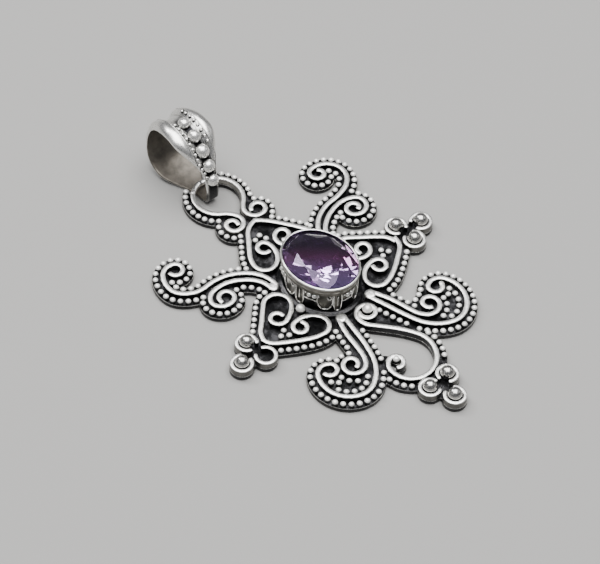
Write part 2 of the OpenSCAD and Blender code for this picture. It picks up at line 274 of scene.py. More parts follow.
class Shape:
    """Gathers verts and faces in millimetres and makes one mesh piece of them."""

    def __init__(self):
        self.verts, self.faces, self.slots, self.flat, self.rub = [], [], [], [], []

    def add(self, verts, faces, slot=0, flat=False, rub=None):
        """slot is one material number, or a list with one for each face; the last
        argument says for each vertex how bright the metal shows, 0 to 1; low values give oxide in some
        places and painted shade in others."""
        start = len(self.verts)
        self.verts += [tuple(v) for v in verts]
        self.rub += rub if rub else [1.0] * len(verts)
        self.faces += [tuple(start + i for i in face) for face in faces]
        self.slots += slot if isinstance(slot, list) else [slot] * len(faces)
        self.flat += [flat] * len(faces)

    def build(self, name, materials, body, node, slot):
        """Makes the piece, on its body and in the place of its node."""
        mesh = bpy.data.meshes.new(name)
        mesh.from_pydata([tuple(c * MM for c in v) for v in self.verts], [], self.faces)
        for material in materials:
            mesh.materials.append(material)
        for face, number, flat in zip(mesh.polygons, self.slots, self.flat):
            face.material_index = number
            face.use_smooth = not flat
        mesh.attributes.new("rub", "FLOAT", "POINT").data.foreach_set("value", self.rub)
        mesh.validate()
        piece = add_object(name, mesh)
        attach(piece, body)
        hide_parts(node)


def add_object(name, data):
    """A new object in the scene."""
    item = bpy.data.objects.new(name, data)
    bpy.context.scene.collection.objects.link(item)
    return item


def ball_template(subdivisions):
    """Corners and faces of a ball of radius 1."""
    ball = bmesh.new()
    bmesh.ops.create_icosphere(ball, subdivisions=subdivisions, radius=1)
    verts = [v.co.copy() for v in ball.verts]
    faces = [[v.index for v in f.verts] for f in ball.faces]
    ball.free()
    return verts, faces


GRAIN_BALL = ball_template(3)
ROUND_BALL = ball_template(4)


def smooth(u):
    """Goes gently from 0 to 1 as u does."""
    v = min(max(u, 0.0), 1.0)
    return v * v * (3 - 2 * v)


def add_ball(shape, at, radius, template, bare, fade, up=(0, 0, 1), slot=0):
    """A ball; below bare, a part of its radius along up, it is dark with oxide at
    its foot and painted shade on its lower side, which give way to metal over the part fade."""
    verts, faces = template
    placed = [(at[0] + v.x * radius, at[1] + v.y * radius, at[2] + v.z * radius) for v in verts]
    up = Vector(up).normalized()
    rub = [smooth((v.dot(up) - bare) / fade) for v in verts]
    shape.add(placed, faces, slot, rub=rub)


def add_strip(shape, rings, closed_ring, slot, caps=True):
    """Joins rings of points into a skin; slot is a number, or gives it for a row and side."""
    count = len(rings[0])
    sides = count if closed_ring else count - 1
    verts = [p for ring in rings for p in ring]
    faces, slots = [], []
    for r in range(len(rings) - 1):
        for i in range(sides):
            j = (i + 1) % count
            faces.append((r * count + i, (r + 1) * count + i, (r + 1) * count + j, r * count + j))
            slots.append(slot(r, i) if callable(slot) else slot)
    if caps:
        last = (len(rings) - 1) * count
        faces.append(tuple(range(count)))
        faces.append(tuple(last + i for i in reversed(range(count))))
        slots += [slots[-1], slots[-1]]
    shape.add(verts, faces, slots)


# Cross-section of a wire, from its left foot to its right foot: place across as
# a part of the half width, and how far below the top
SECTION = [(1.0, 1.0), (1.0, 0.2), (0.96, 0.11), (0.86, 0.055), (0.68, 0.022), (0.38, 0.005),
           (0.0, 0.0), (-0.38, 0.005), (-0.68, 0.022), (-0.86, 0.055), (-0.96, 0.11),
           (-1.0, 0.2), (-1.0, 1.0)]
# Sides of the section at each foot that make up the wall
WALL_SIDES = 2
TOP_SLOT, DARK_SLOT, BRIGHT_SLOT = 0, 1, 2
# How a wire's end rounds off: reach beyond the end, width and drop
END_ROUND = [(0.3, 0.62, 0.1), (0.24, 0.84, 0.03), (0.12, 0.97, 0.0)]


def section_at(place, half, top, width=1.0, drop=0.0):
    """Points of a wire's cross-section at a place."""
    points = []
    for across, down in SECTION:
        z = WIRE_FOOT if down == 1.0 else top - down - drop
        points.append((*beside(place, across * half * width)[:2], z))
    return points


def ahead(place, reach):
    """The place straight on from a place."""
    a = radians(place[2])
    return (place[0] + reach * cos(a), place[1] + reach * sin(a), place[2])


def add_wire(shape, places, half, top, left, right, painted_shade_part=0.0):
    """A wire on edge with a rounded top and softened ends; left and right are
    the materials of its walls, which the last argument paints dark as shade along a first part of it."""
    start_rings = [section_at(ahead(places[0], -reach), half, top, width, drop)
                   for reach, width, drop in END_ROUND]
    end_rings = [section_at(ahead(places[-1], reach), half, top, width, drop)
                 for reach, width, drop in reversed(END_ROUND)]
    rings = start_rings + [section_at(place, half, top) for place in places] + end_rings
    count = len(SECTION)

    def slot(r, i):
        if WALL_SIDES <= i < count - 1 - WALL_SIDES:
            return TOP_SLOT
        if r < painted_shade_part * len(rings):
            return DARK_SLOT
        return left if i < WALL_SIDES else right

    add_strip(shape, rings, False, slot, caps=False)
    first = len(shape.verts) - len(rings) * count
    last = len(shape.verts) - count
    for corner, order in ((first, range(count)), (last, reversed(range(count)))):
        shape.faces.append(tuple(corner + i for i in order))
        shape.slots.append(DARK_SLOT)
        shape.flat.append(True)


def ring_places(ring):
    """Places along an open ring, from one side of its opening to the other."""
    x, y, opening = ring
    r_mid = (RING_D - RING_W) / 2
    a = radians(opening + RING_GAP)
    start = (x + r_mid * cos(a), y + r_mid * sin(a), opening + RING_GAP + 90)
    return run(start, [(360 - 2 * RING_GAP, r_mid)])


def disc_points(x, y, diameter):
    """Points of a round outline."""
    sides = 32
    turns = [tau * i / sides for i in range(sides)]
    return [(x + diameter / 2 * cos(a), y + diameter / 2 * sin(a)) for a in turns]


def round_end(place, right, left):
    """Outline of the round end of a band of plate."""
    return disc_points(*beside(place, (left - right) / 2)[:2], left + right)


def strip_points(start, bends, right, left):
    """Small convex pieces that cover a band along a wire, from right of it to left of it."""
    pieces = []
    for turn, radius in bends:
        places = run(start, [(turn, radius)], step=0.5, turn_step=9)
        # On its inner side the band stops short of the bend's middle
        inner = radius * 0.999
        to_left = min(left, inner) if turn > 0 else left
        to_right = right if turn > 0 else min(right, inner)
        for a, b in zip(places, places[1:]):
            corners = (a, to_left), (a, -to_right), (b, -to_right), (b, to_left)
            pieces.append([beside(place, off)[:2] for place, off in corners])
        start = places[-1]
    return pieces + [round_end(start, right, left)]


def band_outlines(wire, bends, right, left):
    """A band of plate along the first bends of a wire, or all; round at both ends."""
    pieces = strip_points(wire["start"], wire["bends"][:bends], right, left)
    return pieces + [round_end(wire["start"], right, left)]


def plate_outlines():
    """Plain outlines of the plate, and those of the loop, which the bow interrupts."""
    plain, loop = [], []
    for name, wire in WIRES.items():
        bare = wire.get("bare", 0)
        right = BARE_SIDE if bare == 1 else PLATE_SIDE
        left = BARE_SIDE if bare == -1 else PLATE_SIDE
        if name == "hook":
            plain += band_outlines(wire, HOOK_BENDS, right, left)
            plain += band_outlines(wire, None, BARE_SIDE, BARE_SIDE)
        elif bare:
            loop += band_outlines(wire, None, right, left)
            loop += band_outlines(wire, CURL_BENDS, PLATE_SIDE, PLATE_SIDE)
        else:
            plain += band_outlines(wire, None, right, left)
    plain += [CORE, [(-x, y) for x, y in CORE]]
    plain += [disc_points(*disc) for disc in FLOORS + END_BALLS]
    plain += [disc_points(x, y, RING_D + RING_EDGE) for x, y, _ in RINGS]
    plain += [disc_points(x, y, RING_D) for x, y in TREFOILS]
    return plain, loop


def turned_left(outline):
    """The outline, made to run anticlockwise."""
    area = sum(a[0] * b[1] - b[0] * a[1] for a, b in zip(outline, outline[1:] + outline[:1]))
    return outline if area > 0 else outline[::-1]


def plate_triangles():
    """Triangles that cover the plate's outlines together, less the bow's gap."""
    plain, loop = plate_outlines()
    gap = [(BOW_X[0], BOW_Y[0]), (BOW_X[1], BOW_Y[0]), (BOW_X[1], BOW_Y[1]), (BOW_X[0], BOW_Y[1])]
    outlines = [turned_left(list(o)) for o in plain + loop + [gap]]
    verts, faces = [], []
    for outline in outlines:
        faces.append(list(range(len(verts), len(verts) + len(outline))))
        verts += [Vector(p) for p in outline]
    inside_only, merge_within = 1, 1e-4
    corners, _, triangles, _, _, outlines_over = delaunay_2d_cdt(
        verts, [], faces, inside_only, merge_within)
    first_loop, gap_number = len(plain), len(outlines) - 1
    kept = []
    for triangle, numbers in zip(triangles, outlines_over):
        in_plain = any(n < first_loop for n in numbers)
        in_loop = any(first_loop <= n < gap_number for n in numbers)
        if in_plain or (in_loop and gap_number not in numbers):
            kept.append(tuple(triangle))
    return [(v.x, v.y) for v in corners], kept


def make_plate(materials):
    """The sawn plate, its rim a little rounded. Materials: top, side, painted dark
    as shade, the rounding above it, and back."""
    points, triangles = plate_triangles()
    edges = dict.fromkeys((a, b) for tri in triangles for a, b in zip(tri, tri[1:] + tri[:1]))
    rim = [(a, b) for a, b in edges if (b, a) not in edges]
    normal = {}
    for a, b in rim:
        dx, dy = points[b][0] - points[a][0], points[b][1] - points[a][1]
        length = hypot(dx, dy) or 1
        for v in (a, b):
            nx, ny = normal.get(v, (0, 0))
            normal[v] = (nx + dy / length, ny - dx / length)
    shrunk = {}
    for v, (nx, ny) in normal.items():
        length = hypot(nx, ny) or 1
        shrunk[v] = (points[v][0] - nx / length * RIM_ROUND, points[v][1] - ny / length * RIM_ROUND)
    used = sorted({v for tri in triangles for v in tri})
    index = {v: i for i, v in enumerate(used)}
    plate = Shape()
    top = [(*shrunk.get(v, points[v]), PLATE_T) for v in used]
    plate.add(top, [[index[v] for v in tri] for tri in triangles], 0, True)
    bottom = [(*shrunk.get(v, points[v]), 0) for v in used]
    plate.add(bottom, [[index[v] for v in reversed(tri)] for tri in triangles], 3, True)
    order = sorted(normal)
    rim_index = {v: i for i, v in enumerate(order)}
    count = len(order)
    layers = [[(*shrunk[v], PLATE_T) for v in order],
              [(*points[v], PLATE_T - RIM_ROUND) for v in order],
              [(*points[v], RIM_ROUND) for v in order],
              [(*shrunk[v], 0) for v in order]]
    walls, slots = [], []
    # Material 1, on the side between the two roundings, is painted shade
    for k, slot in enumerate((2, 1, 3)):
        for a, b in rim:
            ia, ib = rim_index[a] + k * count, rim_index[b] + k * count
            walls.append((ia, ia + count, ib + count, ib))
            slots.append(slot)
    plate.add([p for layer in layers for p in layer], walls, slots)
    plate.build("back_plate", materials, *ON_FRAME)


def make_wires(materials):
    """All the scroll wires."""
    shape = Shape()
    for number, (name, wire) in enumerate(WIRES.items()):
        bare = wire.get("bare", 0)
        left = BRIGHT_SLOT if bare == -1 else DARK_SLOT
        right = BRIGHT_SLOT if bare == 1 else DARK_SLOT
        places = run(wire["start"], wire["bends"])
        if name.startswith("loop"):
            places = [p for p in places if not (BOW_X[0] < p[0] < BOW_X[1] and p[1] > BOW_Y[0])]
        painted_shade_part = HOOK_PAINTED_SHADE if name == "hook" else 0.0
        top = WIRE_TOP - WIRE_STEP * number
        add_wire(shape, places, WIRE_W / 2, top, left, right, painted_shade_part)
    shape.build("scroll_wires", materials, *ON_FRAME)


def make_bow(materials):
    """The bare round-edged bow of the loop inside the bail."""
    shape = Shape()
    places = run(WIRES["loop_l"]["start"], WIRES["loop_l"]["bends"])
    right_side = run(WIRES["loop_r"]["start"], WIRES["loop_r"]["bends"])
    places += [(x, y, heading + 180) for x, y, heading in reversed(right_side)]
    first_x, last_x = BOW_X[0] - BOW_LAP, BOW_X[1] + BOW_LAP
    places = [p for p in places if first_x < p[0] < last_x and p[1] > BOW_Y[0]]
    half_w, half_h = BOW_W / 2, (BOW_Z[1] - BOW_Z[0]) / 2
    middle = (BOW_Z[0] + BOW_Z[1]) / 2
    sides = 16
    squareness = 0.6
    rings = []
    for place in places:
        ring = []
        for k in range(sides):
            a = tau * k / sides
            across = copysign(abs(cos(a)) ** squareness, cos(a)) * half_w
            up = copysign(abs(sin(a)) ** squareness, sin(a)) * half_h
            ring.append((*beside(place, across)[:2], middle + up))
        rings.append(ring)
    add_strip(shape, rings, True, 0)
    shape.build("loop_bow", materials, *ON_FRAME)


def make_rings(materials):
    """The open rings; the three that meet differ a hair in height."""
    shape = Shape()
    for number, ring in enumerate(RINGS):
        top = WIRE_TOP + RING_STEP * (number % 3)
        add_wire(shape, ring_places(ring), RING_W / 2, top, DARK_SLOT, BRIGHT_SLOT)
    shape.build("open_rings", materials, *ON_FRAME)


def grain_places():
    """Middle of every granule."""
    places = []
    for wire in WIRES.values():
        for side, first, last, count in wire["grains"]:
            off = side * GRAIN_OFF
            start, bends = beside(wire["start"], off), bends_beside(wire["bends"], off)
            for i in range(count):
                length = first + (last - first) * i / (count - 1)
                places.append(along(start, bends, length)[:2])
    return places + DOTS


def make_granules(materials):
    """Granules, each a little different as hand-made ones are."""
    draw = random.Random(7)
    shape = Shape()
    for x, y in grain_places():
        radius = GRAIN_D / 2 * draw.uniform(*GRAIN_SIZES)
        z = GRAIN_Z + draw.uniform(-GRAIN_WOBBLE, GRAIN_WOBBLE)
        # Each granule is bright on top and dark on its lower side: oxide at its foot and painted shade
        add_ball(shape, (x, y, z), radius, GRAIN_BALL, bare=0.25, fade=0.2)
    shape.build("granules", materials, *ON_FRAME)


def make_balls(materials):
    """The balls in the rings, and the bright ones elsewhere."""
    shape = Shape()
    in_rings = [(x, y, BALL_D) for i, (x, y, _) in enumerate(RINGS) if i != EMPTY_RING]
    for slot, spots in ((0, in_rings), (1, END_BALLS)):
        for x, y, diameter in spots:
            middle = (x, y, PLATE_T + diameter / 2 + BALL_LIFT)
            # Each ball is dark on its lower side: oxide at its foot and painted shade
            add_ball(shape, middle, diameter / 2, ROUND_BALL, bare=-0.2, fade=0.5, slot=slot)
    shape.build("ring_balls", materials, *ON_FRAME)


def add_button(shape, x, y, diameter, top):
    """A round button of solder with a soft top."""
    profile = [(1.0, WIRE_FOOT), (1.0, top - 0.16), (0.96, top - 0.07), (0.86, top - 0.01),
               (0.5, top + 0.01)]
    rings = [[(px, py, z) for px, py in disc_points(x, y, diameter * part)] for part, z in profile]
    rings.append([(x, y, top + 0.01)] * len(rings[0]))
    add_strip(shape, rings, True, 0, caps=False)


def make_joins(materials):
    """Solder where the wires of an arm meet."""
    shape = Shape()
    for x, y, diameter in JOINS:
        add_button(shape, x, y, diameter, WIRE_TOP - JOIN_DROP)
    shape.build("solder_joins", materials, *ON_FRAME)


def oval_at(grow, angle, z):
    """A point on the stone's outline grown by grow, at an angle in radians."""
    return (STONE_AT[0] + (STONE_W / 2 + grow) * cos(angle),
            STONE_AT[1] + (STONE_L / 2 + grow) * sin(angle), z)


# Gallery: cells round the bezel, each a pair of balls, a broad petal and a tongue
CELLS = 6
CELLS_FROM = radians(206)
# Each petal's middle and half width as parts of a cell, lowest height and
# squareness; how high its edge rises at its sides, at most to the arches
PETALS = [(0.33, 0.2, 1.7, 3), (0.667, 0.115, 1.4, 4)]
PETAL_RISE = 1.2
ARCH_Z = 2.9
# Wall behind the gallery, and how far below a petal's edge it turns dark
WALL_Z = (1.3, 4.2)
WALL_FADE = 0.15


def cell_angle(cell, part):
    """The angle round the bezel at a part of a cell."""
    return CELLS_FROM + tau * (cell + part) / CELLS


def petal_edge(part):
    """Height of the petals' lower edge at a part of a cell."""
    heights = [low + PETAL_RISE * (abs(part % 1 - middle) / half) ** power
               for middle, half, low, power in PETALS]
    return min(ARCH_Z, *heights)


# Profile of the bezel: growth beyond the stone, and height; foot, wall, band and lip
WALL_ROWS = 20
BEZEL_OUT = [(0.55, 0.5), (0.55, 0.95), (0.5, 1.08), (0.38, 1.14), (0.02, 1.18)]
BEZEL_OUT += [(-0.15, WALL_Z[0] + (WALL_Z[1] - WALL_Z[0]) * i / WALL_ROWS)
              for i in range(WALL_ROWS + 1)]
BEZEL_OUT += [(0.0, 4.26), (0.08, 4.3), (0.1, 4.36), (0.06, 4.42), (0.03, 4.46), (0.08, 4.5),
              (0.1, 4.56), (0.07, 4.62), (0.08, 4.7), (0.16, 4.9), (0.21, 5.1), (0.18, 5.2),
              (0.19, 5.26), (0.17, 5.34), (0.13, 5.42), (0.07, 5.48), (0.0, 5.5), (-0.06, 5.49),
              (-0.1, 5.45), (-0.13, 5.37), (-0.1, 5.26)]
# Inside, the bezel takes the foot's dark material, painted shade under the stone
BEZEL_IN = [(0.05, 5.1), (0.06, 4.8), (0.0, 4.6), (-0.2, 4.4), (-0.45, 4.3), (-0.5, 4.1),
            (-0.45, 3.6), (-0.45, 1.2), (-0.6, 0.9), (-1.2, 0.8), (-2.4, 0.78)]
LIP_Z = 5.3
LIP_SLOT, BAND_SLOT, WALL_SLOT, FOOT_SLOT = 0, 1, 2, 3


def bezel_slot(z):
    """Material above a height: bright lip, band painted with a dark brown reflection, wall or dark foot."""
    if z > LIP_Z:
        return LIP_SLOT
    if z >= WALL_Z[1]:
        return BAND_SLOT
    return WALL_SLOT if z >= WALL_Z[0] else FOOT_SLOT


def make_bezel(materials):
    """The bezel's skin, from its foot up over the lip and down inside."""
    shape = Shape()
    count = 240
    profile = BEZEL_OUT + BEZEL_IN
    slots = [bezel_slot(z) for _, z in BEZEL_OUT[:-1]] + [FOOT_SLOT] * len(BEZEL_IN)
    rings = [[oval_at(grow, tau * i / count, z) for i in range(count)] for grow, z in profile]
    faces, face_slots, rub = [], [], []
    for r, (_, z) in enumerate(profile):
        on_wall = WALL_Z[0] <= z <= WALL_Z[1] and r < len(BEZEL_OUT)
        for i in range(count):
            cell = (tau * i / count - CELLS_FROM) * CELLS / tau
            rub.append(smooth((z - petal_edge(cell)) / WALL_FADE) if on_wall else 1.0)
            j = (i + 1) % count
            if r < len(profile) - 1:
                faces.append((r * count + i, r * count + j, (r + 1) * count + j, (r + 1) * count + i))
                face_slots.append(slots[r])
    shape.add([p for ring in rings for p in ring], faces, face_slots, rub=rub)
    shape.build("bezel", materials, *ON_FRAME)


def add_tube(shape, points, radius, out):
    """A round wire through points; out gives the outward way at each point."""
    sides = 8
    rings = []
    for i, p in enumerate(points):
        p = Vector(p)
        before, after = Vector(points[max(i - 1, 0)]), Vector(points[min(i + 1, len(points) - 1)])
        way = (after - before).normalized()
        across = way.cross(Vector(out[i]).normalized()).normalized()
        up = across.cross(way)
        ring = []
        for k in range(sides):
            a = tau * k / sides
            ring.append(tuple(p + (across * cos(a) + up * sin(a)) * radius))
        rings.append(ring)
    add_strip(shape, rings, True, 0)


def smooth_line(points):
    """Catmull-Rom line through points."""
    steps = 3
    line = []
    for i in range(len(points) - 1):
        p = [points[max(i - 1, 0)], points[i], points[i + 1], points[min(i + 2, len(points) - 1)]]
        for s in range(steps):
            t = s / steps
            line.append(tuple(
                0.5 * (2 * p[1][k] + (p[2][k] - p[0][k]) * t
                       + (2 * p[0][k] - 5 * p[1][k] + 4 * p[2][k] - p[3][k]) * t * t
                       + (3 * p[1][k] - p[0][k] - 3 * p[2][k] + p[3][k]) * t ** 3)
                for k in range(len(p[0]))))
    line.append(tuple(points[-1]))
    return line


def outward(angle):
    """The way outward from the stone's outline at an angle."""
    return (cos(angle) / (STONE_W / 2), sin(angle) / (STONE_L / 2), 0)


# Wires of the gallery: radius, top and place; part of its width a petal's line takes
GALLERY_WIRE_R = 0.1
GALLERY_TOP = 4.25
GALLERY_IN = -0.1
PETAL_PART = 0.98
PETAL_STEPS = 14
# Lines of a cell, as parts of a cell and heights: rib down the tongue, arch
# between two cells, and curl on the broad petal
RIB = [(0.667, 3.9), (0.667, 3), (0.667, 2.2)]
ARCH = [(-0.2, ARCH_Z + 0.05), (-0.1, ARCH_Z), (0, ARCH_Z + 0.1), (0.08, ARCH_Z), (0.14, ARCH_Z + 0.05)]
CURL = [(0.44 + 0.05 * cos(a), 3.75 + 0.32 * sin(a))
        for a in (2.6, 3.6, 4.6, 5.6, 6.6, 7.4, 8.2)]
# Thickness of each line: petal, tongue, rib, arch, curl
LINE_PARTS = (1, 1.2, 0.7, 1, 1)
# Balls of a cell: part of a cell, height, radius; their place, and how much their
# bare side looks up; their lower side is painted dark as shade, with oxide at its foot
CELL_BALLS = [(-0.065, 3.85, 0.32), (0.065, 3.85, 0.32), (-0.16, 4.0, 0.14), (0.16, 3.9, 0.14)]
CELL_BALL_IN = -0.02
CELL_BALL_UP = 0.6


def petal_line(middle, half):
    """Outline of a petal or tongue, from the band down one side and up the other."""
    reach = half * PETAL_PART
    side_z = (GALLERY_TOP + ARCH_Z) / 2
    line = [(middle - reach, GALLERY_TOP), (middle - reach, side_z)]
    for i in range(PETAL_STEPS + 1):
        part = middle - reach + 2 * reach * i / PETAL_STEPS
        line.append((part, petal_edge(part)))
    return line + [(middle + reach, side_z), (middle + reach, GALLERY_TOP)]


def make_gallery(materials):
    """The wires of the gallery, and the balls between its cells."""
    shape = Shape()
    lines = [petal_line(middle, half) for middle, half, _, _ in PETALS] + [RIB, ARCH, CURL]
    for cell in range(CELLS):
        for line, thick in zip(lines, LINE_PARTS):
            spots = [(cell_angle(cell, part), z) for part, z in smooth_line(line)]
            points = [oval_at(GALLERY_IN, angle, z) for angle, z in spots]
            add_tube(shape, points, GALLERY_WIRE_R * thick, [outward(angle) for angle, _ in spots])
        for part, z, ball_r in CELL_BALLS:
            angle = cell_angle(cell, part)
            up = Vector(outward(angle)) + Vector((0, 0, CELL_BALL_UP))
            middle = oval_at(CELL_BALL_IN, angle, z)
            add_ball(shape, middle, ball_r, GRAIN_BALL, bare=0.0, fade=0.3, up=up, slot=1)
    shape.build("gallery", materials, *ON_FRAME)


def make_stone(materials):
    """Oval brilliant: table, star, kite and girdle facets over a pavilion of mains and halves."""
    table_r, star_r, culet_r = 0.6, 0.82, 0.24
    girdle = 0.06

    def ring(radius, z, count, turn=0.0):
        turns = [tau * (i + turn) / count for i in range(count)]
        return [(radius * cos(a), radius * sin(a), z) for a in turns]

    half = cos(pi / 8)
    slope = (CROWN_H - girdle) / (1 - table_r)
    star_z = girdle + slope * (1 - star_r * half)
    lower_z = -girdle - (PAVILION_H - girdle) * (1 - culet_r * half)
    verts = ring(table_r, CROWN_H, 8) + ring(star_r, star_z, 8, 0.5)
    verts += ring(1, girdle, 16) + ring(1, -girdle, 16)
    verts += ring(culet_r, lower_z, 8, 0.5) + [(0, 0, -PAVILION_H)]
    table, star, upper, lower, knee, culet = 0, 8, 16, 32, 48, 56
    faces = [tuple(range(8))]
    for i in range(8):
        j = (i + 1) % 8
        faces.append((table + i, star + i, table + j))
        faces.append((table + i, star + (i - 1) % 8, upper + 2 * i, star + i))
        faces.append((star + i, upper + 2 * i, upper + 2 * i + 1))
        faces.append((star + i, upper + 2 * i + 1, upper + 2 * j))
        faces.append((knee + i, lower + 2 * i + 1, lower + 2 * i))
        faces.append((knee + i, lower + 2 * j, lower + 2 * i + 1))
        faces.append((culet, knee + i, lower + 2 * i, knee + (i - 1) % 8))
    for i in range(16):
        j = (i + 1) % 16
        faces.append((upper + i, lower + i, lower + j, upper + j))
    shape = Shape()
    placed = [(STONE_AT[0] + x * STONE_W / 2, STONE_AT[1] + y * STONE_L / 2, GIRDLE_Z + z)
              for x, y, z in verts]
    shape.add(placed, faces, 0, True)
    shape.build("amethyst", materials, "pendant", "stone", "purple_stone")


def band_hw(v, z, side):
    """Half width of the band at a point of its side outline, side above 0 on its right."""
    t = v * cos(BAND_TILT) + z * sin(BAND_TILT)
    widening = smooth((t + 0.6) / 5.4)
    back_in = 0.07 * max(t - 6, 0) ** 2
    drawn_in = RIGHT_IN * smooth((t - 3) / 5) if side > 0 else 0
    return THROAT_HW + (MOUTH_HW - THROAT_HW) * widening - back_in - drawn_in


def bail_point(across, v, z):
    """A point of the bail, given across its hinge, along it and up."""
    c, s = cos(BAIL_LEAN), sin(BAIL_LEAN)
    across, z = across * c - z * s, across * s + z * c
    c, s = cos(BAIL_TURN), sin(BAIL_TURN)
    return (BAIL_AT[0] + across * c + v * s, BAIL_AT[1] - across * s + v * c, z)


def on_band(length, across, lift):
    """A point a length along the outline, across it, lifted outward."""
    v, z, _ = beside(along(BAND, BAND_BENDS, length), lift)
    return bail_point(across, v, z)


BAND_LEN = sum(bend_len(turn, radius) for turn, radius in BAND_BENDS)
# Stations along the band and steps across it
STATIONS = 220
ACROSS_STEPS = 20
# Rounding of the band's edges: width, and how much thinner they get
EDGE_W = 0.14
EDGE_THIN = 0.75
# How close the points across the band come to its edges
EDGE_PART = 0.98
# Channel of the balls, and the row of beads beside it
CHANNEL_HW = 0.75
BEAD_ROW, BEAD_D, BEAD_STEP = 1.12, 0.46, 0.66
# Each row of beads: its side, and from and to which length along the outline
BEAD_RUNS = [(-1, 7.2, 14.6), (1, 11.2, 16)]
# Line ridges beside the row: places across, radius, first length, how long, steps
RIDGE_OFF, RIDGE_R, RIDGE_FROM, RIDGE_LEN, RIDGE_STEPS = (-0.32, 0.32), 0.08, 7, 10.5, 50
# Part of the band that carries the puffed flanges: from, to, fade
PUFF_FROM, PUFF_TO, PUFF_FADE = 5.0, 20.0, 5.0
# Their height, and what it gains at the back; the inside's part; width they need
PUFF_H, PUFF_MORE, PUFF_INSIDE, PUFF_ROOM = 0.42, 0.2, 0.6, 1.6


def puff(length, across, hw):
    """How far the outside stands out beside the channel of balls."""
    if hw <= CHANNEL_HW + 0.1:
        return 0.0
    part = (abs(across) - CHANNEL_HW) / (hw - CHANNEL_HW)
    if part <= 0:
        return 0.0
    start, end = (length - PUFF_FROM) / PUFF_FADE, (PUFF_TO + PUFF_FADE - length) / PUFF_FADE
    strength = smooth(start) * smooth(end)
    high = PUFF_H + PUFF_MORE * smooth((length - 12) / 4)
    bulge = sin(pi * min(part, 1.0)) ** 0.8
    return high * strength * bulge * min(1.0, (hw - CHANNEL_HW) / PUFF_ROOM)


def band_painted_light(length, across):
    """How far the metal shows: painted shadow darkens the band between the balls, and painted shade darkens
    it round the bow.
    """
    beside_balls = smooth((abs(across) - 0.45) / 0.4)
    past_balls = smooth((length - 14.5) / 2)
    past_bow = smooth((length - 4) / 2.5) * smooth((BAND_LEN - 1 - length) / 3)
    return max(beside_balls, past_balls) * (0.3 + 0.7 * past_bow)


def make_band(materials):
    """The folded band: outside with puffed flanges, inside plain and painted dark as shade, rounded edges.
    """
    shape = Shape()
    count = ACROSS_STEPS + 1
    rings, rub = [], []
    for i in range(STATIONS):
        length = BAND_LEN * i / STATIONS
        v, z, _ = along(BAND, BAND_BENDS, length)
        row_out, row_in = [], []
        for k in range(count):
            q = -1 + 2 * k / ACROSS_STEPS
            hw = band_hw(v, z, q)
            across = hw * sin(q * pi / 2 * EDGE_PART) / sin(pi / 2 * EDGE_PART)
            edge = max(0.0, (abs(across) - (hw - EDGE_W)) / EDGE_W)
            dome = BAND_T / 2 * (1 - edge ** 2 * EDGE_THIN)
            lift = puff(length, across, hw)
            row_out.append(on_band(length, across, dome + lift))
            row_in.append(on_band(length, across, -dome + lift * PUFF_INSIDE))
            rub.append(band_painted_light(length, across))
        rub += [1.0] * count
        rings.append(row_out + row_in[::-1])
    rings.append(rings[0])
    add_strip(shape, rings, True, lambda r, i: 1 if count <= i < 2 * count - 1 else 0, caps=False)
    shape.rub = rub + rub[:2 * count]
    shape.build("bail_band", materials, *ON_BAIL)


def row_spot(length, side, off, inset, lift):
    """A point on the band in or beside the row of beads, and the way up from it."""
    v, z, _ = along(BAND, BAND_BENDS, length)
    hw = band_hw(v, z, side)
    row = min(hw - inset, BEAD_ROW + off)
    lift = BAND_T / 2 + lift + puff(length, row, hw)
    point, above = on_band(length, side * row, lift), on_band(length, side * row, lift + 1)
    return point, [a - b for a, b in zip(above, point)]


def make_spine(materials):
    """Balls down the front of the bail, with rows of beads and ridges beside them."""
    shape = Shape()
    for length, diameter in SPINE:
        middle = on_band(length, 0, SPINE_LIFT)
        up = Vector(on_band(length, 0, SPINE_LIFT + 1)) - Vector(middle)
        radius = diameter / 2 + SPINE_GROW
        # Each ball is dark on its lower side: oxide at its foot and painted shade
        add_ball(shape, middle, radius, ROUND_BALL, bare=-0.1, fade=0.5, up=up, slot=1)
    for side, length, last in BEAD_RUNS:
        while length < last:
            middle, up = row_spot(length, side, 0, 0.25, 0.06)
            # Each bead is dark on its lower side: oxide at its foot and painted shade
            add_ball(shape, middle, BEAD_D / 2, GRAIN_BALL, bare=0.1, fade=0.3, up=up)
            length += BEAD_STEP
        for off in RIDGE_OFF:
            lengths = [RIDGE_FROM + RIDGE_LEN * i / RIDGE_STEPS for i in range(RIDGE_STEPS + 1)]
            spots = [row_spot(length, side, off, 0.12, 0) for length in lengths]
            add_tube(shape, [point for point, _ in spots], RIDGE_R, [up for _, up in spots])
    shape.build("bail_spine", materials, *ON_BAIL)


def new_material(name):
    material = bpy.data.materials.new(name)
    material.use_nodes = True
    nodes, links = material.node_tree.nodes, material.node_tree.links
    return material, nodes, links, nodes["Principled BSDF"]


def put(node, **values):
    """Sets inputs of a node by name; an underscore stands for a space."""
    for name, value in values.items():
        node.inputs[name.replace("_", " ")].default_value = value


def object_coords(nodes, links):
    """Coordinates on the piece itself, in millimetres."""
    coords = nodes.new("ShaderNodeTexCoord")
    mapping = nodes.new("ShaderNodeMapping")
    put(mapping, Scale=(1 / MM, 1 / MM, 1 / MM))
    links.new(coords.outputs["Object"], mapping.inputs["Vector"])
    return mapping.outputs["Vector"]


def noise(nodes, links, vector, scale, detail):
    tex = nodes.new("ShaderNodeTexNoise")
    put(tex, Scale=scale, Detail=detail)
    links.new(vector, tex.inputs["Vector"])
    return tex.outputs["Fac"]


